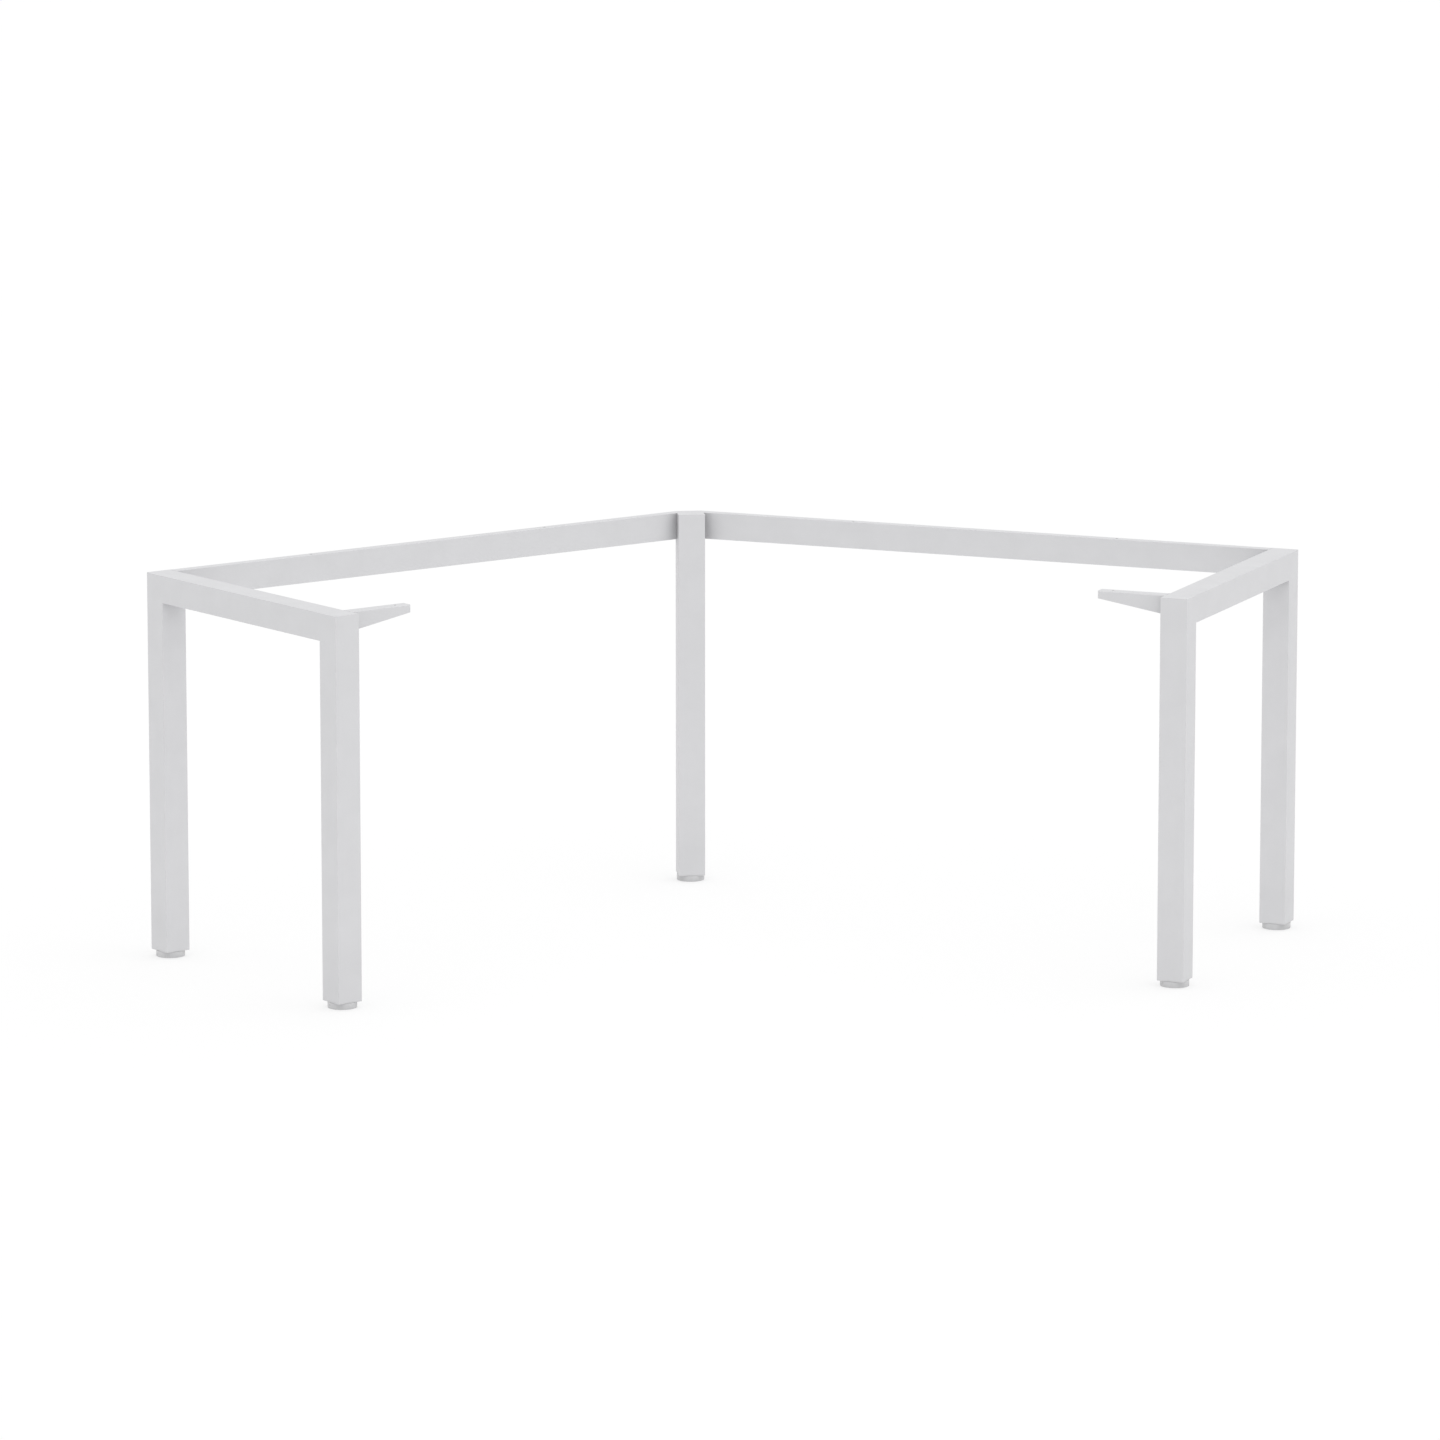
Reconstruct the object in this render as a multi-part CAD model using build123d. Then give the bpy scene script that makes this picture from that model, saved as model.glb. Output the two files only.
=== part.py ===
from build123d import *
import os
from math import cos, radians, sin

# A frame for a 120 degree corner desk: two end frames of mitred square tube, a corner post,
# two back beams on spigots, two tapered support arms and five levelling feet.
# The origin is the corner post's axis on the floor, +Z is up and +Y points to the wall.
# Each wing is drawn in its own plane: X runs out from the post along the beam, Y to the sitter.

# The whole frame, in millimetres and degrees
desk_angle = 120.0
wing_length = 1195.0
end_frame_depth = 600.0
top_height = 703.0

# Square tube of the legs, the rails and the post
tube_side = 50.0
tube_wall = 2.0
tube_corner = 1.0
least_inner_corner = 0.5
cap_thickness = 2.0

# Rectangular tube of the back beams, and the spigots inside it
beam_height = 50.0
beam_thickness = 20.0
beam_wall = 1.5
spigot_length = 80.0
spigot_wall = 3.0
spigot_clearance = 0.2

# Countersunk lock screws that hold a beam on a spigot from below
lock_screw_radius = 3.0
lock_screw_length = 9.0
lock_screw_point = 0.8
lock_head_radius = 5.5
lock_socket_across = 4.0
lock_socket_depth = 1.8
lock_screw_inset = 18.0
lock_screw_pitch = 36.0
thread_clearance = 0.05

# Folded sheet of the support arms
arm_length = 127.5
arm_width = 25.0
arm_root_depth = 34.5
arm_tip_depth = 13.5
arm_sheet = 2.0
arm_bend = 2.5

# Holes for the desktop's screws in the beams and arms, and the driver's holes under the beams
fixing_hole_radius = 2.25
driver_hole_radius = 5.0
beam_fixing_inset = 300.0
arm_fixing_inset = 25.0

# Levelling foot: a sole under a cored pad, which swivels on a stem with a hexagonal collar
pad_radius = 26.0
pad_top = 11.5
pad_top_round = 0.8
pad_bottom_round = 0.6
pad_roof = 3.0
pad_hub_wall = 2.5
pad_rib_thickness = 1.8
pad_rib_count = 6
sole_radius = 22.0
sole_thickness = 2.0
sole_proud = 0.6
sole_clearance = 0.2
sole_ledge = 2.0
stem_radius = 5.0
stem_point = 1.0
stem_neck_radius = 4.0
rivet_radius = 7.0
rivet_thickness = 2.0
rivet_roof = 4.0
collar_across = 17.0
collar_height = 4.0
collar_headroom = 0.25
swivel_clearance = 0.1
seat_clearance = 0.05
rivet_bevel = 0.4
rest_gap = 0.3
foot_travel = 20.0

# Plug in a leg's end, with its captive nut and a pocket that hides the collar at rest
flange_thickness = 2.0
flange_inset = 0.15
plug_height = 28.0
plug_wall = 2.5
plug_clearance = 0.1
fin_height = 1.2
fin_thickness = 1.5
fin_count = 4
web_thickness = 2.5
boss_wall = 2.6
collar_pocket_clearance = 0.6
nut_across = 17.0
nut_height = 8.0
nut_bevel = 0.5
nut_clearance = 0.1
stem_bore_clearance = 0.4

# Worked out from the sizes above
wing_turn = (180.0 - desk_angle) / 2.0
turn_cos = cos(radians(wing_turn))
turn_sin = sin(radians(wing_turn))
half_tube = tube_side / 2.0
back_face = -half_tube * (turn_cos + turn_sin)
front_face = back_face + end_frame_depth
end_axis = wing_length - half_tube
inner_face = wing_length - tube_side
plug_base = pad_top + rest_gap
tube_base = plug_base + flange_thickness
collar_base = pad_top + seat_clearance
collar_top = collar_base + collar_height
collar_pocket_radius = collar_across / 2.0 / cos(radians(30)) + collar_pocket_clearance
boss_radius = collar_pocket_radius + boss_wall
beam_middle = back_face + beam_thickness / 2.0
beam_underside = top_height - beam_height
bevel_front = (half_tube + (back_face + beam_thickness) * turn_sin) / turn_cos
corner_spigot_end = bevel_front + spigot_length
end_spigot_end = inner_face - spigot_length
arm_tip = inner_face - arm_length
arm_middle = front_face - tube_side + arm_width / 2.0
nut_base = collar_top + collar_headroom
nut_top = nut_base + nut_height
stem_top = nut_top + foot_travel + stem_point

# Planes of one wing: its place on the frame, the post's side and the mitres of the end frame
left_wing = Plane((0, 0, 0), x_dir=(-turn_cos, -turn_sin, 0), z_dir=(0, 0, 1))
post_side_normal = Vector(turn_cos, -turn_sin, 0)
post_side = Plane(post_side_normal * half_tube, z_dir=post_side_normal)
rear_mitre = Plane((end_axis, back_face, top_height), x_dir=(1, 0, 0), z_dir=(0, 1, 1))
front_mitre = Plane((end_axis, front_face, top_height), x_dir=(1, 0, 0), z_dir=(0, -1, 1))

# Leg axes of one wing
rear_axis = back_face + half_tube
front_axis = front_face - half_tube

# Places along the beam of the lock screws and the desktop's screws
lock_screw_places = [
    corner_spigot_end - lock_screw_inset,
    corner_spigot_end - lock_screw_inset - lock_screw_pitch,
    end_spigot_end + lock_screw_inset,
    end_spigot_end + lock_screw_inset + lock_screw_pitch,
]
beam_fixing_places = [bevel_front + beam_fixing_inset, inner_face - beam_fixing_inset]


def tube(start, width, depth, wall, corner, length):
    """A hollow bar with rounded corners that runs along the start plane's normal."""
    inner_corner = max(corner - wall, least_inner_corner)
    outside = RectangleRounded(width, depth, corner)
    inside = RectangleRounded(width - 2 * wall, depth - 2 * wall, inner_corner)
    return extrude(start * (outside - inside), length)


def hexagon(across):
    """A hexagon given by the distance across its flats."""
    return RegularPolygon(across / 2, 6, major_radius=False)


def upright_pin(x, y, low, high, radius):
    """A round bar between two heights, for pins and for drilling."""
    return Pos(x, y, low) * extrude(Circle(radius), high - low)


# End frames


def leg(axis, mitre):
    """An upright of an end frame, mitred at the top."""
    start = Plane((end_axis, axis, tube_base))
    upright = tube(start, tube_side, tube_side, tube_wall, tube_corner, top_height - tube_base)
    return split(upright, bisect_by=mitre, keep=Keep.BOTTOM)


def top_rail():
    """The level bar of an end frame, mitred at both ends."""
    start = Plane((end_axis, back_face, top_height - half_tube), x_dir=(1, 0, 0), z_dir=(0, 1, 0))
    bar = tube(start, tube_side, tube_side, tube_wall, tube_corner, end_frame_depth)
    bar = split(bar, bisect_by=rear_mitre, keep=Keep.TOP)
    return split(bar, bisect_by=front_mitre, keep=Keep.TOP)


# Corner post


def corner_post():
    """The single upright in the corner, open at the top for its cap plate."""
    length = top_height - cap_thickness - tube_base
    return tube(Plane((0, 0, tube_base)), tube_side, tube_side, tube_wall, tube_corner, length)


def corner_post_cap():
    """The plate that closes the top of the corner post."""
    plate = RectangleRounded(tube_side, tube_side, tube_corner)
    return Pos(0, 0, top_height - cap_thickness) * extrude(plate, cap_thickness)


# Back beams and their spigots


def beam_plane(place):
    """A plane across the beam at a distance along it, on the beam's axis."""
    return Plane((place, beam_middle, top_height - beam_height / 2), x_dir=(0, 1, 0), z_dir=(1, 0, 0))


def lock_screw_blank(clearance):
    """A countersunk screw with its head's face down at the origin, grown round by a clearance."""
    shank_radius = lock_screw_radius + clearance
    head = Cone(
        lock_head_radius + clearance,
        shank_radius,
        lock_head_radius - lock_screw_radius,
        align=(Align.CENTER, Align.CENTER, Align.MIN),
    )
    return head + extrude(Circle(shank_radius), lock_screw_length)


def lock_holes():
    """The drill for the lock screws' countersunk holes from below."""
    drill = lock_screw_blank(thread_clearance)
    return Part() + [Pos(x, beam_middle, beam_underside) * drill for x in lock_screw_places]


def desktop_screw_hole(place):
    """A small hole in the beam's top wall and a driver's hole below it."""
    reach = 2 * beam_wall
    top_hole = upright_pin(place, beam_middle, top_height - reach, top_height + reach, fixing_hole_radius)
    low_hole = upright_pin(
        place, beam_middle, beam_underside - reach, beam_underside + reach, driver_hole_radius
    )
    return top_hole + low_hole


def back_beam():
    """The flat tube behind a wing, bevelled on the post and square on the rear leg."""
    bar = tube(beam_plane(0), beam_thickness, beam_height, beam_wall, tube_corner, inner_face)
    bar = split(bar, bisect_by=post_side, keep=Keep.TOP)
    bar -= lock_holes()
    for place in beam_fixing_places:
        bar -= desktop_screw_hole(place)
    return bar


def spigot(start, length):
    """A stub of tube that fits inside the beam, tapped below for the lock screws."""
    play = 2 * (beam_wall + spigot_clearance)
    bar = tube(
        beam_plane(start), beam_thickness - play, beam_height - play, spigot_wall, tube_corner, length
    )
    return bar - lock_holes()


def corner_spigot():
    """The stub that is welded to the side of the post, bevelled as the beam is."""
    return split(spigot(0, corner_spigot_end), bisect_by=post_side, keep=Keep.TOP)


def end_spigot():
    """The stub that is welded to the inner face of the rear leg."""
    return spigot(end_spigot_end, spigot_length)


def lock_screw():
    """A countersunk screw with a hexagonal socket, flush with the beam's underside."""
    screw = lock_screw_blank(0)
    screw = chamfer(screw.edges().sort_by(Axis.Z)[-1], lock_screw_point)
    return screw - extrude(hexagon(lock_socket_across), lock_socket_depth)


# Support arms


def arm_side(root, tip, top, root_low, tip_low):
    """The tapered side view of an arm, drawn upright along the wing."""
    outline = Polyline((root, top), (root, root_low), (tip, tip_low), (tip, top), close=True)
    return Plane.XZ * make_face(outline)


def support_arm():
    """A folded channel with its open side down, tapered to a closed tip."""
    outside_side = arm_side(
        inner_face, arm_tip, top_height, top_height - arm_root_depth, top_height - arm_tip_depth
    )
    outside = extrude(outside_side, arm_width / 2, both=True)
    folds = outside.edges().filter_by(Axis.X).group_by(Axis.Z)[-1]
    tip_folds = outside.edges().filter_by(Axis.Z).group_by(Axis.X)[0]
    outside = fillet(folds + tip_folds, arm_bend)
    inside_side = arm_side(
        inner_face + arm_sheet,
        arm_tip + arm_sheet,
        top_height - arm_sheet,
        top_height - arm_root_depth - arm_root_depth,
        top_height - arm_tip_depth - arm_root_depth,
    )
    inside = extrude(inside_side, arm_width / 2 - arm_sheet, both=True)
    hole_place = arm_tip + arm_fixing_inset
    hole = upright_pin(hole_place, 0, top_height - 2 * arm_sheet, top_height, fixing_hole_radius)
    return Pos(0, arm_middle, 0) * (outside - inside - hole)


# Levelling feet, drawn about their own axis


def leg_plug():
    """A moulded plug with a flange, sealing fins and a webbed boss that holds the nut over the collar."""
    bore_side = tube_side - 2 * tube_wall
    fin_side = bore_side - 2 * plug_clearance
    core_side = fin_side - 2 * fin_height
    hollow_side = core_side - 2 * plug_wall
    flange_side = tube_side - 2 * flange_inset
    fin_pitch = plug_height / fin_count

    flange = RectangleRounded(flange_side, flange_side, tube_corner)
    plug = Pos(0, 0, plug_base) * extrude(flange, flange_thickness)
    plug += Pos(0, 0, tube_base) * extrude(Rectangle(core_side, core_side), plug_height)
    fin = extrude(RectangleRounded(fin_side, fin_side, least_inner_corner), fin_thickness)
    for index in range(fin_count):
        plug += Pos(0, 0, tube_base + (index + 1) * fin_pitch - fin_thickness) * fin
    webs = Rectangle(hollow_side, web_thickness) + Rectangle(web_thickness, hollow_side)
    hollow = Rectangle(hollow_side, hollow_side) - Circle(boss_radius) - webs
    plug -= Pos(0, 0, tube_base) * extrude(hollow, plug_height)
    plug -= upright_pin(0, 0, plug_base, nut_base, collar_pocket_radius)
    plug -= Pos(0, 0, nut_base) * extrude(hexagon(nut_across + 2 * nut_clearance), nut_height)
    top = tube_base + plug_height
    return plug - upright_pin(0, 0, plug_base, top, stem_radius + stem_bore_clearance)


def captive_nut():
    """A hexagonal nut in the plug's pocket, bevelled on both faces."""
    blank = extrude(hexagon(nut_across), nut_height)
    corner_radius = nut_across / 2 / cos(radians(30))
    turned = extrude(Circle(corner_radius), nut_height)
    turned = chamfer(turned.edges().filter_by(GeomType.CIRCLE), nut_bevel)
    nut = blank & turned
    nut -= extrude(Circle(stem_radius + thread_clearance), nut_height)
    return Pos(0, 0, nut_base) * nut


def foot_stem():
    """A screw with a hexagonal collar over the pad and a riveted end under its web."""
    rivet_top = pad_top - rivet_roof - swivel_clearance
    collar = Pos(0, 0, collar_base) * extrude(hexagon(collar_across), collar_height)
    screw = upright_pin(0, 0, collar_top, stem_top, stem_radius)
    screw = chamfer(screw.edges().sort_by(Axis.Z)[-1], stem_point)
    neck = upright_pin(0, 0, rivet_top, collar_base, stem_neck_radius)
    rivet = upright_pin(0, 0, rivet_top - rivet_thickness, rivet_top, rivet_radius)
    rivet = chamfer(rivet.edges().sort_by(Axis.Z)[0], rivet_bevel)
    return collar + screw + neck + rivet


def foot_pad():
    """A round pad, cored and ribbed from below, with a hub for the stem and a recess for the sole."""
    pad = upright_pin(0, 0, sole_proud, pad_top, pad_radius)
    rims = pad.edges().filter_by(GeomType.CIRCLE).sort_by(Axis.Z)
    pad = fillet(rims[-1], pad_top_round)
    pad = fillet(pad.edges().filter_by(GeomType.CIRCLE).sort_by(Axis.Z)[0], pad_bottom_round)
    pad -= upright_pin(0, 0, 0, sole_thickness, sole_radius + sole_clearance)
    pocket_radius = rivet_radius + 2 * swivel_clearance
    core = Circle(sole_radius - sole_ledge) - Circle(pocket_radius + pad_hub_wall)
    core -= PolarLocations(sole_radius / 2, pad_rib_count) * Rectangle(sole_radius, pad_rib_thickness)
    pad -= Pos(0, 0, sole_thickness) * extrude(core, pad_top - pad_roof - sole_thickness)
    pad -= upright_pin(0, 0, 0, pad_top - rivet_roof, pocket_radius)
    return pad - upright_pin(0, 0, 0, pad_top, stem_neck_radius + swivel_clearance)


def foot_sole():
    """The disc under a pad that meets the floor."""
    return upright_pin(0, 0, 0, sole_thickness, sole_radius)


# Assembly

foot_places = {"rear": (end_axis, rear_axis), "front": (end_axis, front_axis)}

wing_pieces = {
    "rear_leg": leg(rear_axis, rear_mitre),
    "front_leg": leg(front_axis, front_mitre),
    "top_rail": top_rail(),
    "back_beam": back_beam(),
    "corner_spigot": corner_spigot(),
    "end_spigot": end_spigot(),
    "support_arm": support_arm(),
}
foot_pieces = {
    "leg_plug": leg_plug(),
    "foot_stem": foot_stem(),
    "foot_pad": foot_pad(),
    "foot_sole": foot_sole(),
}
for place, (x, y) in foot_places.items():
    for piece, solid in foot_pieces.items():
        wing_pieces[f"{place}_{piece}"] = Pos(x, y, 0) * solid

nodes = {"corner_post": corner_post(), "corner_post_cap": corner_post_cap()}
for piece, solid in foot_pieces.items():
    nodes[f"corner_{piece}"] = solid

nuts = [captive_nut()]
lock_screws = []
for side in ("left", "right"):
    wing_nuts = [Pos(x, y, 0) * captive_nut() for x, y in foot_places.values()]
    wing_screws = [Pos(x, beam_middle, beam_underside) * lock_screw() for x in lock_screw_places]
    placed = {piece: left_wing.location * solid for piece, solid in wing_pieces.items()}
    placed_nuts = [left_wing.location * nut for nut in wing_nuts]
    placed_screws = [left_wing.location * screw for screw in wing_screws]
    if side == "right":
        placed = {piece: mirror(solid, about=Plane.YZ) for piece, solid in placed.items()}
        placed_nuts = [mirror(nut, about=Plane.YZ) for nut in placed_nuts]
        placed_screws = [mirror(screw, about=Plane.YZ) for screw in placed_screws]
    for piece, solid in placed.items():
        nodes[f"{side}_{piece}"] = solid
    nuts += placed_nuts
    lock_screws += placed_screws
nodes["captive_nuts"] = Compound(children=nuts)
nodes["beam_lock_screws"] = Compound(children=lock_screws)

os.makedirs("parts", exist_ok=True)
for node, solid in nodes.items():
    export_step(solid, f"parts/{node}.step")
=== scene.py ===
"""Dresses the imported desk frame: finishes, threaded stems, soles, weld beads, floor, light and camera."""

import logging
import math
from abc import ABC, abstractmethod
from dataclasses import dataclass
from enum import Enum
from functools import cache
from typing import Any, Iterable, Sequence

import bmesh
import bpy
from mathutils import Matrix, Vector


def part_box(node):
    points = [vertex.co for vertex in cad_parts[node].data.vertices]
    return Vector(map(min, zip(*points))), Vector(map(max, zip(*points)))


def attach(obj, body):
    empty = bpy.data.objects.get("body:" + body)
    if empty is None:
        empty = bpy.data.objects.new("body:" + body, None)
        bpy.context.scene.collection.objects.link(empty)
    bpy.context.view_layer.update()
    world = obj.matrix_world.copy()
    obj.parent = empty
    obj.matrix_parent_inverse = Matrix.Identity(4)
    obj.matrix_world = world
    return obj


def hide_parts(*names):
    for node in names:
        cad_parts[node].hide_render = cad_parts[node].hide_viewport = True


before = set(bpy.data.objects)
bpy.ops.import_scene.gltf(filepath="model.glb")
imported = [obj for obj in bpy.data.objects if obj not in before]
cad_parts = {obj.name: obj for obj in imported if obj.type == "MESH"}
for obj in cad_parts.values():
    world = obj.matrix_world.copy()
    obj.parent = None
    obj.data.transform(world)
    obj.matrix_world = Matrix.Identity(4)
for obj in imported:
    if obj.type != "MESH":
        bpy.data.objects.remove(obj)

log = logging.getLogger("desk_frame")

MM = 0.001
OPENNESS_RAYS = 8
SMOOTH_BELOW = math.radians(30.0)
WHITE = (1.0, 1.0, 1.0, 1.0)
Colour = tuple[float, float, float]
Span = tuple[float, float]


class Side(Enum):
    """The two wings, as the sitter sees them, with the sign of X on each."""

    LEFT = -1
    RIGHT = 1

    @property
    def label(self) -> str:
        """The word that starts the names of this wing's nodes."""
        return self.name.lower()


class Leg(Enum):
    """The two legs of an end frame, by their words in the nodes' names."""

    REAR = "rear"
    FRONT = "front"


class Slot(Enum):
    """The record's material slots, passed along with the new pieces."""

    PAINT = "frame_paint"
    STEEL = "plated_steel"
    RUBBER = "sole_rubber"


class FootPlace(Enum):
    """The five places of a levelling foot, by the words that start its nodes' names."""

    CORNER = "corner"
    LEFT_REAR = "left_rear"
    LEFT_FRONT = "left_front"
    RIGHT_REAR = "right_rear"
    RIGHT_FRONT = "right_front"


@dataclass(frozen=True)
class Wing:
    """One wing's own directions, out along the beam and forward to the sitter, as its legs give them."""

    side: Side

    def leg_axis(self, place: Leg) -> Vector:
        """The X and Y of a leg's axis.

        Args:
            place: Which of the wing's two legs.

        Returns:
            The axis as a point in the floor's plane.
        """
        leg = place.value
        low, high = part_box(f"{self.side.label}_{leg}_leg")
        return ((low + high) / 2).to_2d()

    @property
    def turn(self) -> float:
        """The angle in radians between the beam and the wall."""
        run = self.leg_axis(Leg.FRONT) - self.leg_axis(Leg.REAR)
        return math.atan2(abs(run.x), -run.y)

    @property
    def tube(self) -> float:
        """The side of the square tube, which the corner post shows."""
        low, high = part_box("corner_post")
        return high.x - low.x

    @property
    def top(self) -> float:
        """The height of the faces that carry the desktop."""
        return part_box(f"{self.side.label}_top_rail")[1].z

    @property
    def inner_face(self) -> float:
        """How far out the legs' inner faces lie."""
        axis = self.leg_axis(Leg.REAR)
        return abs(axis.x) * math.cos(self.turn) - axis.y * math.sin(self.turn) - self.tube / 2

    @property
    def back_face(self) -> float:
        """How far forward the rear leg's back lies."""
        return self.forward(Leg.REAR) - self.tube / 2

    @property
    def front_face(self) -> float:
        """How far forward the front leg's front lies."""
        return self.forward(Leg.FRONT) + self.tube / 2

    def forward(self, leg: Leg) -> float:
        """How far forward a leg's axis lies."""
        axis = self.leg_axis(leg)
        return -abs(axis.x) * math.sin(self.turn) - axis.y * math.cos(self.turn)

    def point(self, out: float, forward: float, up: float) -> Vector:
        """Turns a place in the wing's own directions into the frame's.

        Args:
            out: How far out along the beam.
            forward: How far forward to the sitter.
            up: The height over the floor.

        Returns:
            The place in the frame.
        """
        along = out * math.cos(self.turn) - forward * math.sin(self.turn)
        back = out * math.sin(self.turn) + forward * math.cos(self.turn)
        return Vector((self.side.value * along, -back, up))


class Term:
    """A node's output socket that can stand in a Python expression of numbers."""

    def __init__(self, tree: "NodeBuilder", socket: bpy.types.NodeSocket | None) -> None:
        """Keeps the socket and the tree that its expressions grow in."""
        self.tree = tree
        self.socket = socket

    def _math(self, operation: str, *values: Any) -> "Term":
        """Adds one Math node.

        Args:
            operation: The Math node's operation.
            values: The node's inputs in order, terms or numbers.

        Returns:
            The node's result as a term.
        """
        return self.tree.node("ShaderNodeMath", {"operation": operation}, dict(enumerate(values)))

    def __add__(self, other: Any) -> "Term":
        """self + other."""
        return self._math("ADD", self, other)

    __radd__ = __add__

    def __sub__(self, other: Any) -> "Term":
        """self - other."""
        return self._math("SUBTRACT", self, other)

    def __rsub__(self, other: Any) -> "Term":
        """other - self."""
        return self._math("SUBTRACT", other, self)

    def __mul__(self, other: Any) -> "Term":
        """self * other."""
        return self._math("MULTIPLY", self, other)

    __rmul__ = __mul__

    def __truediv__(self, other: Any) -> "Term":
        """self / other."""
        return self._math("DIVIDE", self, other)

    def __rtruediv__(self, other: Any) -> "Term":
        """other / self."""
        return self._math("DIVIDE", other, self)

    def __abs__(self) -> "Term":
        """abs(self)."""
        return self._math("ABSOLUTE", self)

    def other(self, name: str) -> "Term":
        """Another output of the same node."""
        return Term(self.tree, self.socket.node.outputs[name])

    def fraction(self) -> "Term":
        """The part after the decimal point."""
        return self._math("FRACT", self)

    def sine(self) -> "Term":
        """The sine of an angle in radians."""
        return self._math("SINE", self)

    def cosine(self) -> "Term":
        """The cosine of an angle in radians."""
        return self._math("COSINE", self)

    def atan2(self, other: Any) -> "Term":
        """The angle whose tangent is self over other."""
        return self._math("ARCTAN2", self, other)

    def smaller(self, other: Any) -> "Term":
        """The smaller of two values."""
        return self._math("MINIMUM", self, other)

    def swing(self, amount: float, middle: float = 0.5) -> "Term":
        """How far this value lies from its middle, times an amount."""
        return (self - middle) * amount

    def ramp(self, low: float, high: float, start: float = 0.0, end: float = 1.0) -> "Term":
        """Maps this value from one range to another, clamped and eased.

        Args:
            low: The value that gives start.
            high: The value that gives end.
            start: The result at low.
            end: The result at high.

        Returns:
            The mapped value as a term.
        """
        return self.tree.node(
            "ShaderNodeMapRange",
            {"interpolation_type": "SMOOTHSTEP"},
            {"Value": self, "From Min": low, "From Max": high, "To Min": start, "To Max": end},
        )


class NodeBuilder:
    """Adds nodes to a shader or geometry tree."""

    def __init__(self, tree: bpy.types.NodeTree) -> None:
        """Keeps the tree and empties it."""
        self.tree = tree
        tree.nodes.clear()

    def node(
        self,
        kind: str,
        settings: dict[str, Any] | None = None,
        inputs: dict[str | int, Any] | None = None,
        output: str | int = 0,
    ) -> Term:
        """Adds one node of any type.

        Args:
            kind: The node's type.
            settings: Its properties, which are set before its sockets.
            inputs: Values or terms by the input's name or number.
            output: The name or number of the output to use.

        Returns:
            The chosen output as a term, without a socket where the node has no output.
        """
        made = self.tree.nodes.new(kind)
        for name, value in (settings or {}).items():
            setattr(made, name, value)
        for key, value in (inputs or {}).items():
            socket = self.socket(made.inputs, key)
            for each in value if isinstance(value, list) else [value]:
                if isinstance(each, Term):
                    self.tree.links.new(each.socket, socket)
                else:
                    socket.default_value = each
        return Term(self, self.socket(made.outputs, output) if made.outputs else None)

    @staticmethod
    def socket(sockets: Iterable[bpy.types.NodeSocket], key: str | int) -> bpy.types.NodeSocket:
        """Finds one of a node's live sockets.

        Args:
            sockets: The node's inputs or outputs.
            key: The socket's name or number.

        Returns:
            The socket.
        """
        live = [each for each in sockets if each.enabled]
        return live[key] if isinstance(key, int) else next(each for each in live if each.name == key)

    def noise(self, where: Term, scale: float, detail: float = 2.0, rough: float = 0.5) -> Term:
        """A noise texture's value from 0 to 1.

        Args:
            where: The coordinates.
            scale: Cells in a metre.
            detail: The number of finer layers.
            rough: The strength of the finer layers.

        Returns:
            The noise as a term.
        """
        inputs = {"Vector": where, "Scale": scale, "Detail": detail, "Roughness": rough}
        return self.node("ShaderNodeTexNoise", {"noise_dimensions": "3D"}, inputs)

    def mottle(self, pattern: Term, span: Span, colour: Colour, tints: Span) -> Term:
        """Makes a colour darker and lighter by a pattern.

        Args:
            pattern: The pattern's value.
            span: The pattern's values at the first tint and at the last.
            colour: The colour to vary.
            tints: What the colour is multiplied by at those two values.

        Returns:
            The varied colour as a term.
        """
        dark, light = ((*tinted(colour, tint), 1.0) for tint in tints)
        inputs = {"Factor": pattern.ramp(*span), "A": dark, "B": light}
        return self.node("ShaderNodeMix", {"data_type": "RGBA"}, inputs)

    def shade(self, colour: Term, openness: Term, darkest: float) -> Term:
        """Paints shade into a colour by darkening it where it is shut in.

        Args:
            colour: The colour in the open.
            openness: 0 where a spot is shut in and 1 in the open.
            darkest: The share of the colour that is left at 0.

        Returns:
            The dulled colour as a term.
        """
        level = openness * (1.0 - darkest) + darkest
        inputs = {"Factor": 1.0, "A": colour, "B": level}
        return self.node("ShaderNodeMix", {"data_type": "RGBA", "blend_type": "MULTIPLY"}, inputs)

    def openness(self, reach: float) -> Term:
        """How open a spot is, from 0 in a tight corner to 1 on a bare face.

        Args:
            reach: How far away a neighbour still counts.

        Returns:
            The share of open directions as a term.
        """
        settings = {"samples": OPENNESS_RAYS}
        return self.node("ShaderNodeAmbientOcclusion", settings, {"Distance": reach}, "AO")

    def relief(self, height: Term, distance: float, strength: float) -> Term:
        """Turns a height into a bumped normal.

        Args:
            height: The height, about 0 to 1.
            distance: What a height of 1 means in metres.
            strength: The bump's strength.

        Returns:
            The normal as a term.
        """
        inputs = {"Height": height, "Distance": distance, "Strength": strength}
        return self.node("ShaderNodeBump", None, inputs)


def tinted(colour: Colour, factor: float) -> Colour:
    """The colour made lighter or darker by a factor."""
    return tuple(min(1.0, part * factor) for part in colour)


class Finish(ABC):
    """A procedural surface finish, made once and shared by its pieces."""

    name: str

    @abstractmethod
    def surface(self, tree: NodeBuilder, where: Term) -> dict[str, Any]:
        """The shader's sockets and their values, from Object coordinates."""

    @cache
    def material(self) -> bpy.types.Material:
        """Makes the finish's material once.

        Returns:
            The material, the same one at each call.
        """
        made = bpy.data.materials.new(self.name)
        made.use_nodes = True
        tree = NodeBuilder(made.node_tree)
        where = tree.node("ShaderNodeTexCoord", output="Object")
        shader = tree.node("ShaderNodeBsdfPrincipled", None, self.surface(tree, where))
        tree.node("ShaderNodeOutputMaterial", None, {"Surface": shader})
        return made


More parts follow.
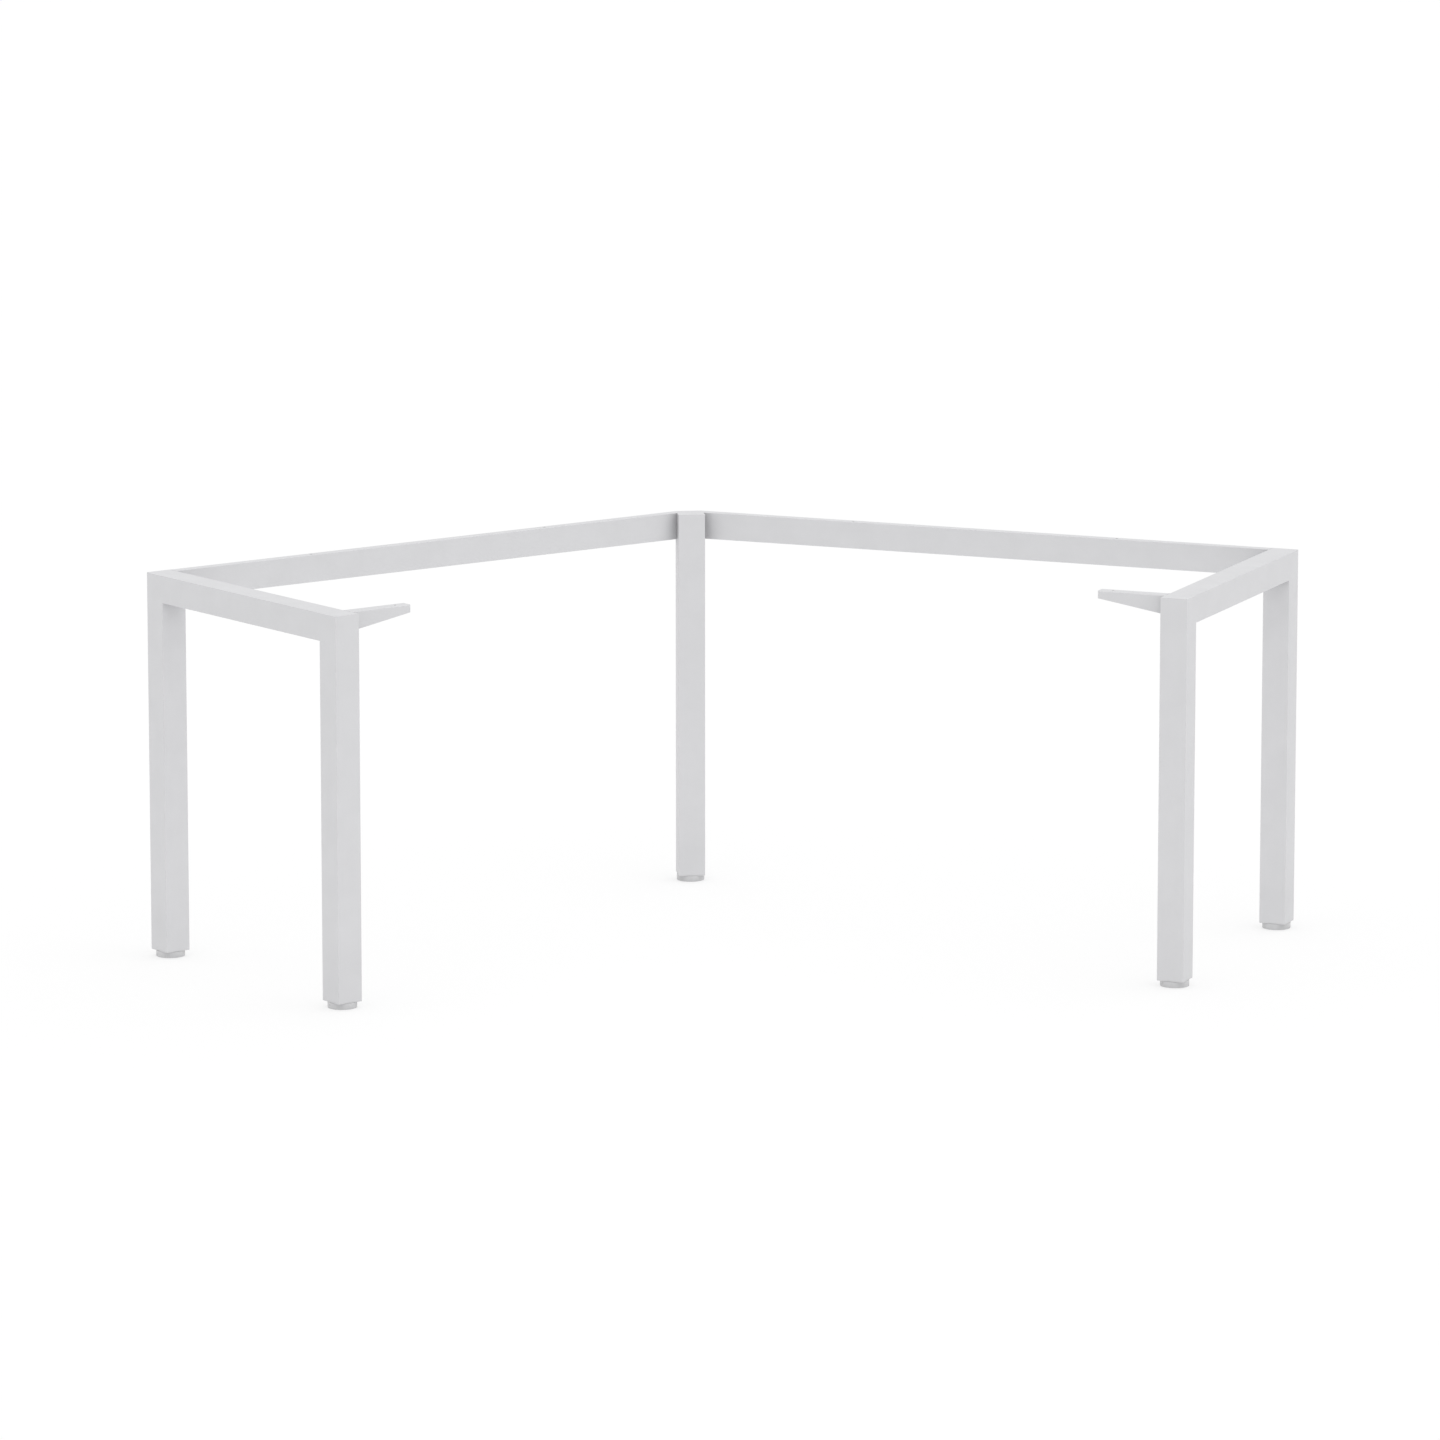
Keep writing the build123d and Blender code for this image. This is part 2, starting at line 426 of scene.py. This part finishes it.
@dataclass(frozen=True)
class PowderCoat(Finish):
    """Baked powder paint: a fine orange-peel skin over an even light grey, with shade painted into its
    colour where it is shut in, darkest in tight corners.
    """

    name: str = "light_grey_powder_coat"
    colour: Colour = (0.755, 0.755, 0.770)
    tints: Span = (0.984, 1.016)
    tint_span: Span = (0.3, 0.7)
    roughness: float = 0.50
    sheen: float = 0.22
    cloud_cells: float = 22.0
    cloud_share: float = 0.7
    cloud_dulling: float = 0.10
    peel_cells: float = 950.0
    peel_share: float = 0.8
    peel_dulling: float = 0.14
    peel_height: float = 0.12 * MM
    peel_strength: float = 0.6
    speck_cells: float = 3040.0
    # Painted shade: how far a neighbour reaches and how dark the colour gets, for wide and for tight
    # corners.
    wide_reach: float = 150.0 * MM
    wide_span: Span = (0.5, 1.0)
    wide_shade: float = 0.87
    tight_reach: float = 16.0 * MM
    tight_shade: float = 0.8
    floor_lit: float = 200.0 * MM
    floor_share: float = 0.8

    def height(self, tree: NodeBuilder, where: Term, peel: Term) -> Term:
        """The skin's height; finer specks ride on the peel.

        Args:
            tree: The material's nodes.
            where: Object coordinates.
            peel: The peel's pattern.

        Returns:
            The height as a term.
        """
        specks = tree.noise(where, self.speck_cells, detail=1.0)
        return peel * self.peel_share + specks * (1.0 - self.peel_share)

    def surface(self, tree: NodeBuilder, where: Term) -> dict[str, Any]:
        """The paint's sockets, with painted shade in the colour; the pale floor lights the lowest part of
        the frame, so the wide painted shade fades there.

        Args:
            tree: The material's nodes.
            where: Object coordinates.

        Returns:
            Socket names and their values.
        """
        clouds = tree.noise(where, self.cloud_cells, detail=3.0)
        peel = tree.noise(where, self.peel_cells, detail=2.0, rough=0.55)
        tone = clouds * self.cloud_share + peel * (1.0 - self.cloud_share)
        paint = tree.mottle(tone, self.tint_span, self.colour, self.tints)
        # Painted shade: the colour is darkened where the surface is shut in, less near the floor, and again
        # in tight corners.
        height = tree.node("ShaderNodeSeparateXYZ", None, {0: where}, "Z")
        near_floor = height.ramp(0.0, self.floor_lit, self.floor_share, 0.0)
        bare = tree.openness(self.wide_reach).ramp(*self.wide_span)
        paint = tree.shade(paint, bare + (1.0 - bare) * near_floor, self.wide_shade)
        return {
            "Base Color": tree.shade(paint, tree.openness(self.tight_reach), self.tight_shade),
            "Roughness": self.roughness + clouds.swing(self.cloud_dulling) + peel.swing(self.peel_dulling),
            "Specular IOR Level": self.sheen,
            "Normal": tree.relief(self.height(tree, where, peel), self.peel_height, self.peel_strength),
        }


@dataclass(frozen=True)
class WeldedCoat(PowderCoat):
    """The same paint over the end frames, where the ground weld of each mitre shows faintly."""

    name: str = "light_grey_powder_coat_on_welds"
    wing: Wing = Wing(Side.LEFT)
    seam_width: float = 1.3 * MM
    seam_height: float = 0.9
    seam_end: float = 1.0 * MM

    def height(self, tree: NodeBuilder, where: Term, peel: Term) -> Term:
        """The skin's height with a low ridge along both mitres.

        Args:
            tree: The material's nodes.
            where: Object coordinates.
            peel: The peel's pattern.

        Returns:
            The height as a term.
        """
        wing = self.wing
        x = tree.node("ShaderNodeSeparateXYZ", None, {0: where})
        forward = abs(x) * -math.sin(wing.turn) - x.other("Y") * math.cos(wing.turn)
        drop = wing.top - x.other("Z")
        rear = abs(forward - wing.back_face - drop)
        front = abs(wing.front_face - forward - drop)
        seam = rear.smaller(front).ramp(0.0, self.seam_width, self.seam_height, 0.0)
        near_top = drop.ramp(wing.tube, wing.tube + self.seam_end, 1.0, 0.0)
        return super().height(tree, where, peel) + seam * near_top


@dataclass(frozen=True)
class MouldedPlastic(Finish):
    """Grey moulded plastic with a fine spark-eroded grain, faint flow marks and painted shade in tight
    corners.
    """

    name: str
    colour: Colour = (0.715, 0.715, 0.725)
    tints: Span = (0.97, 1.02)
    roughness: float = 0.55
    grain_cells: float = 1700.0
    grain_middle: float = 0.4
    grain_dulling: float = 0.2
    grain_height: float = 0.08 * MM
    grain_strength: float = 0.6
    flow_cells: float = 60.0
    flow_span: Span = (0.25, 0.75)
    flow_dulling: float = 0.1
    # Painted shade in tight corners: how far a neighbour reaches and how dark the colour gets.
    tight_reach: float = 16.0 * MM
    tight_shade: float = 0.7

    def surface(self, tree: NodeBuilder, where: Term) -> dict[str, Any]:
        """The plastic's sockets.

        Args:
            tree: The material's nodes.
            where: Object coordinates.

        Returns:
            Socket names and their values.
        """
        inputs = {"Vector": where, "Scale": self.grain_cells}
        grain = tree.node("ShaderNodeTexVoronoi", {"feature": "SMOOTH_F1"}, inputs)
        grain_dulling = grain.swing(self.grain_dulling, self.grain_middle)
        flow = tree.noise(where, self.flow_cells, detail=3.0)
        shell = tree.mottle(flow, self.flow_span, self.colour, self.tints)
        # The base colour carries painted shade where the plastic is shut in.
        return {
            "Base Color": tree.shade(shell, tree.openness(self.tight_reach), self.tight_shade),
            "Roughness": self.roughness + grain_dulling + flow.swing(self.flow_dulling),
            "Normal": tree.relief(grain, self.grain_height, self.grain_strength),
        }


@dataclass(frozen=True)
class SoleRubber(Finish):
    """Dark grey rubber with a dusty bloom and fine pores."""

    name: str = "dark_sole_rubber"
    colour: Colour = (0.085, 0.085, 0.088)
    tints: Span = (1.0, 1.7)
    roughness: float = 0.78
    bloom_cells: float = 180.0
    bloom_span: Span = (0.35, 0.7)
    bloom_dulling: float = 0.2
    pore_cells: float = 2600.0
    pore_height: float = 0.04 * MM
    pore_strength: float = 0.3

    def surface(self, tree: NodeBuilder, where: Term) -> dict[str, Any]:
        """The rubber's sockets.

        Args:
            tree: The material's nodes.
            where: Object coordinates.

        Returns:
            Socket names and their values.
        """
        bloom = tree.noise(where, self.bloom_cells, detail=4.0, rough=0.6)
        pores = tree.noise(where, self.pore_cells, detail=1.0)
        return {
            "Base Color": tree.mottle(bloom, self.bloom_span, self.colour, self.tints),
            "Roughness": self.roughness + bloom.swing(self.bloom_dulling),
            "Normal": tree.relief(pores, self.pore_height, self.pore_strength),
        }


@dataclass(frozen=True)
class PlatedSteel(Finish):
    """Zinc-plated steel with a soft, slightly uneven bloom and fine scratches."""

    name: str = "zinc_plated_steel"
    colour: Colour = (0.68, 0.69, 0.71)
    tints: Span = (0.86, 1.05)
    roughness: float = 0.32
    bloom_cells: float = 240.0
    bloom_span: Span = (0.3, 0.7)
    bloom_dulling: float = 0.2
    scratch_cells: float = 2200.0
    scratch_dulling: float = 0.08
    scratch_height: float = 0.03 * MM
    scratch_strength: float = 0.2

    def surface(self, tree: NodeBuilder, where: Term) -> dict[str, Any]:
        """The metal's sockets.

        Args:
            tree: The material's nodes.
            where: Object coordinates.

        Returns:
            Socket names and their values.
        """
        bloom = tree.noise(where, self.bloom_cells, detail=4.0, rough=0.6)
        scratches = tree.noise(where, self.scratch_cells, detail=2.0, rough=0.7)
        dulling = bloom.swing(self.bloom_dulling) + scratches.swing(self.scratch_dulling)
        return {
            "Base Color": tree.mottle(bloom, self.bloom_span, self.colour, self.tints),
            "Metallic": 1.0,
            "Roughness": self.roughness + dulling,
            "Normal": tree.relief(scratches, self.scratch_height, self.scratch_strength),
        }


FRAME_PAINT = PowderCoat()
WELDED_PAINT = WeldedCoat()
PAD_PLASTIC = MouldedPlastic("grey_moulded_pad")
PLUG_PLASTIC = MouldedPlastic("grey_moulded_plug", colour=(0.73, 0.73, 0.74), roughness=0.6)
RUBBER = SoleRubber()
ZINC = PlatedSteel()


def dress_nodes(names: Iterable[str], finish: Finish) -> None:
    """Gives CAD nodes a finish and reports each.

    Args:
        names: The nodes' names.
        finish: The finish for all of them.
    """
    for name in names:
        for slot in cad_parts[name].material_slots:
            slot.material = finish.material()
        log.info("%s: %s", name, finish.name)


def add_piece(
    name: str, mesh: bpy.types.Mesh, body: str, slot: Slot, replaces: Sequence[str] = ()
) -> None:
    """Adds a finished mesh as a piece that rides on a body, and reports it.

    Args:
        name: The piece's name.
        mesh: Its mesh, already in place.
        body: The CAD body that carries it.
        slot: The record's material slot; not used.
        replaces: The CAD nodes that it stands for.
    """
    piece = bpy.data.objects.new(name, mesh)
    bpy.context.scene.collection.objects.link(piece)
    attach(piece, body)
    if replaces:
        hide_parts(*replaces)
    log.info("%s: %d faces on %s", name, len(mesh.polygons), body)


def lathe(profile: Sequence[Span], steps: int) -> bmesh.types.BMesh:
    """Turns a profile about the Z axis into a closed solid.

    Args:
        profile: Radius and height pairs; the first and last lie on the axis.
        steps: The number of faces round.

    Returns:
        The solid as a bmesh.
    """
    solid = bmesh.new()
    ends = [solid.verts.new((0.0, 0.0, height)) for _, height in (profile[0], profile[-1])]
    angles = [2 * math.pi * step / steps for step in range(steps)]
    rings = []
    for radius, height in profile[1:-1]:
        spots = ((radius * math.cos(angle), radius * math.sin(angle), height) for angle in angles)
        rings.append([solid.verts.new(spot) for spot in spots])
    for step in range(steps):
        after = (step + 1) % steps
        solid.faces.new((ends[0], rings[0][after], rings[0][step]))
        solid.faces.new((ends[1], rings[-1][step], rings[-1][after]))
        for low, high in zip(rings, rings[1:]):
            solid.faces.new((low[step], low[after], high[after], high[step]))
    bmesh.ops.recalc_face_normals(solid, faces=solid.faces)
    return solid


def finish_mesh(solid: bmesh.types.BMesh, name: str) -> bpy.types.Mesh:
    """Turns a bmesh into a mesh with smooth faces and sharp edges.

    Args:
        solid: The bmesh, which is freed.
        name: The mesh's name.

    Returns:
        The mesh.
    """
    for face in solid.faces:
        face.smooth = True
    for edge in solid.edges:
        edge.smooth = len(edge.link_faces) == 2 and edge.calc_face_angle() < SMOOTH_BELOW
    mesh = bpy.data.meshes.new(name)
    solid.to_mesh(mesh)
    solid.free()
    return mesh


class GeometryRecipe:
    """A Geometry Nodes tree with named inputs that ends in one realized mesh."""

    def __init__(self, name: str, inputs: dict[str, float], finish: Finish) -> None:
        """Starts the tree.

        Args:
            name: The tree's name.
            inputs: Names and values of its number inputs.
            finish: The finish of what it makes.
        """
        self.values = inputs
        self.finish = finish
        self.group = bpy.data.node_groups.new(name, "GeometryNodeTree")
        self.identifiers: dict[str, str] = {}
        interface = self.group.interface
        interface.new_socket("Geometry", in_out="INPUT", socket_type="NodeSocketGeometry")
        for label in inputs:
            socket = interface.new_socket(label, in_out="INPUT", socket_type="NodeSocketFloat")
            self.identifiers[label] = socket.identifier
        interface.new_socket("Geometry", in_out="OUTPUT", socket_type="NodeSocketGeometry")
        self.tree = NodeBuilder(self.group)
        self.entry = self.group.nodes.new("NodeGroupInput")

    def value(self, label: str) -> Term:
        """One of the tree's inputs by name."""
        return Term(self.tree, self.entry.outputs[label])

    def bar(self, length: Term, rows: Term, sides: int) -> tuple[Term, Term, Term]:
        """Adds an upright cylinder of radius 1 that stands about the origin.

        Args:
            length: Its length.
            rows: The number of rows of faces along it.
            sides: The number of faces round it.

        Returns:
            The mesh, the angle round the axis and the height over the lower end.
        """
        inputs = {"Vertices": sides, "Side Segments": rows, "Radius": 1.0, "Depth": length}
        solid = self.tree.node("GeometryNodeMeshCylinder", {"fill_type": "NGON"}, inputs, "Mesh")
        x = self.tree.node("ShaderNodeSeparateXYZ", None, {0: self.tree.node("GeometryNodeInputPosition")})
        return solid, x.other("Y").atan2(x), x.other("Z") + length / 2

    def shaped(self, solid: Term, angle: Term, reach: Term, height: Term) -> Term:
        """Moves a cylinder's points to new radii and heights.

        Args:
            solid: The cylinder's mesh.
            angle: Each point's angle round the axis.
            reach: Its new radius.
            height: Its new height.

        Returns:
            The smooth mesh.
        """
        spot = {"X": angle.cosine() * reach, "Y": angle.sine() * reach, "Z": height}
        place = self.tree.node("ShaderNodeCombineXYZ", None, spot)
        moved = self.tree.node("GeometryNodeSetPosition", None, {"Geometry": solid, "Position": place})
        return self.tree.node("GeometryNodeSetShadeSmooth", None, {"Geometry": moved, "Shade Smooth": True})

    def close(self, *parts: Term) -> None:
        """Joins the mesh that goes in with new parts, then ends the tree.

        Args:
            parts: What the tree has made.
        """
        every = [Term(self.tree, self.entry.outputs["Geometry"]), *parts]
        joined = self.tree.node("GeometryNodeJoinGeometry", None, {0: every})
        real = self.tree.node("GeometryNodeRealizeInstances", None, {"Geometry": joined})
        paint = {"Geometry": real, "Material": self.finish.material()}
        self.tree.node("NodeGroupOutput", None, {0: self.tree.node("GeometryNodeSetMaterial", None, paint)})

    def mesh(self, start: bpy.types.Mesh, name: str) -> bpy.types.Mesh:
        """Runs the tree on a mesh.

        Args:
            start: The mesh that goes in.
            name: The name of the mesh that comes out.

        Returns:
            A plain mesh with no modifier behind it.
        """
        carrier = bpy.data.objects.new(name, start)
        bpy.context.scene.collection.objects.link(carrier)
        modifier = carrier.modifiers.new(self.group.name, "NODES")
        modifier.node_group = self.group
        for label, value in self.values.items():
            modifier[self.identifiers[label]] = value
        graph = bpy.context.evaluated_depsgraph_get()
        made = bpy.data.meshes.new_from_object(carrier.evaluated_get(graph))
        carrier.modifiers.remove(modifier)
        bpy.data.objects.remove(carrier)
        made.name = name
        return made


@dataclass
class EndFrame:
    """One inverted U of mitred tube."""

    side: Side
    finish: Finish = WELDED_PAINT

    def dress(self) -> None:
        """Paints the two legs and the rail."""
        members = ("rear_leg", "front_leg", "top_rail")
        dress_nodes((f"{self.side.label}_{member}" for member in members), self.finish)


@dataclass
class BackBeam:
    """One flat beam with the spigots at its ends."""

    side: Side
    finish: Finish = FRAME_PAINT

    def dress(self) -> None:
        """Paints the beam and both spigots."""
        members = ("back_beam", "corner_spigot", "end_spigot")
        dress_nodes((f"{self.side.label}_{member}" for member in members), self.finish)


@dataclass
class CornerPost:
    """The single post in the corner and its cap plate."""

    finish: Finish = FRAME_PAINT

    def dress(self) -> None:
        """Paints the post and the cap."""
        dress_nodes(("corner_post", "corner_post_cap"), self.finish)


@dataclass
class SupportArm:
    """One tapered arm and the weld beads that join it to the front leg.

    A bead's rounded end is counted in bead radii, and a ripple's depth is a share of the radius.
    """

    side: Side
    width: float = 25.0 * MM
    sheet: float = 2.0 * MM
    bead_radius: float = 1.5 * MM
    bead_end: Span = (-0.4, 1.0)
    bead_sides: int = 14
    ripple_pitch: float = 1.7 * MM
    ripple_depth: float = 0.16
    ripple_lean: float = 0.9
    ripple_rows: int = 6
    finish: Finish = FRAME_PAINT

    def build(self) -> None:
        """Lays one bead down the arm's outside and one across under its top sheet."""
        wing = Wing(self.side)
        low, top = (corner.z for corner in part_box(f"{self.side.label}_support_arm"))
        under = top - self.sheet
        back = wing.front_face - wing.tube
        front = back + self.width
        paths = {
            "outer": ((front, low), (front, top - self.bead_radius)),
            "inner": ((back + self.sheet, under), (front - self.sheet, under)),
        }
        for label, path in paths.items():
            name = f"{self.side.label}_arm_{label}_weld"
            start, end = (wing.point(wing.inner_face, *place) for place in path)
            add_piece(name, self.bead(start, end, name), "frame", Slot.PAINT)

    def bead(self, start: Vector, end: Vector, name: str) -> bpy.types.Mesh:
        """A rippled bead between two points.

        Args:
            start: Where it starts.
            end: Where it ends.
            name: The mesh's name.

        Returns:
            The bead's mesh in place.
        """
        run = end - start
        mesh = self.bead_recipe(run.length).mesh(bpy.data.meshes.new("bead_start"), name)
        mesh.transform(Matrix.Translation(start) @ run.to_track_quat("Z", "Y").to_matrix().to_4x4())
        return mesh

    def bead_recipe(self, length: float) -> GeometryRecipe:
        """The tree that makes a bead with leaning ripples and rounded ends.

        Args:
            length: The bead's length.

        Returns:
            The recipe, ready to run.
        """
        sizes = {
            "Length": length,
            "Radius": self.bead_radius,
            "Pitch": self.ripple_pitch,
            "Ripple": self.ripple_depth,
        }
        recipe = GeometryRecipe("weld_bead", sizes, self.finish)
        run, half_width, step, depth = (recipe.value(label) for label in sizes)
        solid, angle, height = recipe.bar(run, run / step * self.ripple_rows, self.bead_sides)
        wave = (height / step * (2 * math.pi) + angle.cosine() * self.ripple_lean).sine()
        first_end = (height / half_width).ramp(*self.bead_end)
        last_end = ((run - height) / half_width).ramp(*self.bead_end)
        reach = half_width * (1.0 + depth * wave) * (first_end * last_end)
        recipe.close(recipe.shaped(solid, angle, reach, height))
        return recipe

    def dress(self) -> None:
        """Paints the arm."""
        dress_nodes((f"{self.side.label}_support_arm",), self.finish)


@dataclass
class LevellingFoot:
    """One foot: plug, threaded stem, pad and grooved sole.

    The thread's run-out and point are counted in pitches, and its rows of faces for each pitch. A groove's
    slope is a share of the groove's width.
    """

    place: FootPlace
    collar_across: float = 17.0 * MM
    collar_sides: int = 6
    collar_height: float = 4.0 * MM
    collar_bevel: float = 0.3 * MM
    seat_clearance: float = 0.05 * MM
    neck_radius: float = 4.0 * MM
    rivet_radius: float = 7.0 * MM
    rivet_thickness: float = 2.0 * MM
    thread_radius: float = 5.0 * MM
    thread_root: float = 4.1 * MM
    thread_pitch: float = 1.5 * MM
    thread_flank: Span = (0.1, 0.85)
    thread_runout: float = 1.4
    thread_point: float = 0.3
    thread_rows: int = 10
    thread_sides: int = 36
    groove_radii: tuple[float, ...] = (6.0 * MM, 10.5 * MM, 15.0 * MM)
    groove_width: float = 1.6 * MM
    groove_slope: float = 1 / 6
    groove_depth: float = 0.7 * MM
    sole_bevel: float = 0.4 * MM
    steps: int = 64

    @property
    def axis(self) -> Matrix:
        """The move from the origin to this foot's axis.

        Returns:
            The move as a matrix.
        """
        low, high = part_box(f"{self.place.value}_foot_pad")
        middle = (low + high) / 2
        return Matrix.Translation((middle.x, middle.y, 0.0))

    def build(self) -> None:
        """Makes the threaded stem and the grooved sole in place of the plain solids."""
        name = self.place.value
        stem = self.stem_mesh()
        stem.transform(self.axis)
        add_piece(f"{name}_threaded_stem", stem, f"{name}_stem", Slot.STEEL, (f"{name}_foot_stem",))
        sole = self.sole_mesh()
        sole.transform(self.axis)
        sole.materials.append(RUBBER.material())
        add_piece(f"{name}_grooved_sole", sole, f"{name}_foot", Slot.RUBBER, (f"{name}_foot_sole",))

    def dress(self) -> None:
        """Gives the pad and the plug their plastics."""
        dress_nodes((f"{self.place.value}_foot_pad",), PAD_PLASTIC)
        dress_nodes((f"{self.place.value}_leg_plug",), PLUG_PLASTIC)

    def stem_mesh(self) -> bpy.types.Mesh:
        """The collar, neck and rivet, with the thread that the nodes add.

        Returns:
            The stem's mesh on the Z axis.
        """
        low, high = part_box(f"{self.place.value}_foot_stem")
        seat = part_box(f"{self.place.value}_foot_pad")[1].z + self.seat_clearance
        collar_top = seat + self.collar_height
        rivet_top = low.z + self.rivet_thickness
        bevel = self.collar_bevel
        profile = (
            (0, low.z),
            (self.rivet_radius - bevel, low.z),
            (self.rivet_radius, low.z + bevel),
            (self.rivet_radius, rivet_top),
            (self.neck_radius, rivet_top),
            (self.neck_radius, seat + bevel),
            (0, seat + bevel),
        )
        shank = finish_mesh(lathe(profile, self.steps), "stem_shank")
        collar = self.collar(seat, collar_top)
        collar.from_mesh(shank)
        bpy.data.meshes.remove(shank)
        recipe = self.thread_recipe(collar_top - bevel, high.z)
        return recipe.mesh(finish_mesh(collar, "stem_base"), f"{self.place.value}_threaded_stem")

    def collar(self, low: float, high: float) -> bmesh.types.BMesh:
        """The hexagon for a spanner, with broken edges.

        Args:
            low: The height of its underside.
            high: The height of its top.

        Returns:
            The collar as a bmesh.
        """
        made = bmesh.new()
        corner = self.collar_across / 2 / math.cos(math.pi / self.collar_sides)
        bmesh.ops.create_cone(
            made,
            cap_ends=True,
            segments=self.collar_sides,
            radius1=corner,
            radius2=corner,
            depth=high - low,
            matrix=Matrix.Translation((0, 0, (low + high) / 2)),
        )
        bmesh.ops.bevel(made, geom=list(made.edges), offset=self.collar_bevel, segments=2, affect="EDGES")
        return made

    def thread_recipe(self, base: float, top: float) -> GeometryRecipe:
        """The tree that adds a screw thread with a pointed end to a stem.

        Args:
            base: Where the thread starts.
            top: Where the screw ends.

        Returns:
            The recipe, ready to run.
        """
        sizes = {
            "Outer radius": self.thread_radius,
            "Root radius": self.thread_root,
            "Pitch": self.thread_pitch,
            "Base": base,
            "Top": top,
        }
        recipe = GeometryRecipe("screw_thread", sizes, ZINC)
        outer, inner, turn, low, high = (recipe.value(label) for label in sizes)
        length = high - low
        solid, angle, height = recipe.bar(length, length / turn * self.thread_rows, self.thread_sides)
        phase = (height / turn - angle / (2 * math.pi)).fraction()
        ridge = (1.0 - abs(phase * 2.0 - 1.0)).ramp(*self.thread_flank)
        turns_left = (length - height) / turn
        reach = inner + (outer - inner) * ridge * turns_left.ramp(0.0, self.thread_runout)
        reach = reach.smaller(inner - turn * self.thread_point + turns_left * turn)
        recipe.close(recipe.shaped(solid, angle, reach, height + low))
        return recipe

    def sole_mesh(self) -> bpy.types.Mesh:
        """A disc with round grooves in its underside.

        Returns:
            The sole's mesh on the Z axis.
        """
        low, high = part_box(f"{self.place.value}_foot_sole")
        radius = (high.x - low.x) / 2
        roof = low.z + self.groove_depth
        slope = self.groove_width * self.groove_slope
        bottom: list[Span] = [(0, low.z)]
        for groove in self.groove_radii:
            inner = groove - self.groove_width / 2
            outer = groove + self.groove_width / 2
            bottom += [(inner, low.z), (inner + slope, roof), (outer - slope, roof), (outer, low.z)]
        rim = [
            (radius - self.sole_bevel, low.z),
            (radius, low.z + self.sole_bevel),
            (radius, high.z),
            (0, high.z),
        ]
        return finish_mesh(lathe(bottom + rim, self.steps), "grooved_sole")


@dataclass
class Hardware:
    """The captive nuts and the beams' lock screws."""

    finish: Finish = ZINC

    def dress(self) -> None:
        """Plates the nuts and the screws."""
        dress_nodes(("captive_nuts", "beam_lock_screws"), self.finish)


@dataclass
class Studio:
    """The pale floor, the soft light and the camera of the photograph's view."""

    floor_size: float = 120.0
    floor_tone: float = 0.40
    floor_glow: float = 0.60
    sky: float = 0.54
    key_strength: float = 1.50
    key_spread: float = 100.0
    key_from: tuple[float, float, float] = (0.10, -0.05, 1.0)
    image_pixels: float = 1440.0
    focal_pixels: float = 8255.93
    sensor_mm: float = 36.0
    eye: tuple[float, float, float] = (-1.8157, -15.23452, 3.09901)
    yaw: float = 7.005
    pitch: float = 10.314

    def build(self) -> None:
        """Makes the whole studio, with colours shown as they are."""
        self.floor()
        self.light()
        self.camera()
        bpy.context.scene.view_settings.view_transform = "Standard"

    def floor(self) -> None:
        """A large pale floor at the height of the soles."""
        half = self.floor_size / 2
        mesh = bpy.data.meshes.new("studio_floor")
        corners = [(-half, -half, 0), (half, -half, 0), (half, half, 0), (-half, half, 0)]
        mesh.from_pydata(corners, [], [(0, 1, 2, 3)])
        mesh.materials.append(self.floor_material())
        ground = bpy.data.objects.new("studio_floor", mesh)
        bpy.context.scene.collection.objects.link(ground)

    def floor_material(self) -> bpy.types.Material:
        """A matt white with a little light of its own.

        Returns:
            The floor's material.
        """
        made = bpy.data.materials.new("studio_floor")
        made.use_nodes = True
        tree = NodeBuilder(made.node_tree)
        sockets = {
            "Base Color": (self.floor_tone, self.floor_tone, self.floor_tone, 1.0),
            "Roughness": 1.0,
            "Specular IOR Level": 0.0,
            "Emission Color": WHITE,
            "Emission Strength": self.floor_glow,
        }
        shader = tree.node("ShaderNodeBsdfPrincipled", None, sockets)
        tree.node("ShaderNodeOutputMaterial", None, {"Surface": shader})
        return made

    def light(self) -> None:
        """An even pale sky and one very soft key light."""
        world = bpy.data.worlds.new("studio_sky")
        world.use_nodes = True
        tree = NodeBuilder(world.node_tree)
        glow = tree.node("ShaderNodeBackground", None, {"Color": WHITE, "Strength": self.sky})
        tree.node("ShaderNodeOutputWorld", None, {"Surface": glow})
        bpy.context.scene.world = world
        key = bpy.data.lights.new("key", "SUN")
        key.energy = self.key_strength
        key.angle = math.radians(self.key_spread)
        lamp = bpy.data.objects.new("key", key)
        lamp.rotation_mode = "QUATERNION"
        lamp.rotation_quaternion = Vector(self.key_from).to_track_quat("Z", "Y")
        bpy.context.scene.collection.objects.link(lamp)

    def camera(self) -> None:
        """A long lens from the sitter's side, a little to the left and above."""
        data = bpy.data.cameras.new("camera")
        data.sensor_fit = "HORIZONTAL"
        data.sensor_width = self.sensor_mm
        data.lens = self.focal_pixels * self.sensor_mm / self.image_pixels
        data.clip_end = self.floor_size
        eye = bpy.data.objects.new("camera", data)
        eye.location = self.eye
        yaw = math.radians(self.yaw)
        pitch = math.radians(self.pitch)
        level = math.cos(pitch)
        ahead = Vector((math.sin(yaw) * level, math.cos(yaw) * level, -math.sin(pitch)))
        eye.rotation_mode = "QUATERNION"
        eye.rotation_quaternion = ahead.to_track_quat("-Z", "Y")
        bpy.context.scene.collection.objects.link(eye)
        bpy.context.scene.camera = eye


def main() -> None:
    """Builds and dresses the whole frame, then sets the studio."""
    logging.basicConfig(level=logging.INFO, format="%(name)s: %(message)s")
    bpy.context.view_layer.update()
    for side in Side:
        EndFrame(side).dress()
        BackBeam(side).dress()
        arm = SupportArm(side)
        arm.build()
        arm.dress()
    CornerPost().dress()
    for place in FootPlace:
        foot = LevellingFoot(place)
        foot.build()
        foot.dress()
    Hardware().dress()
    Studio().build()


if __name__ == "__main__":
    main()
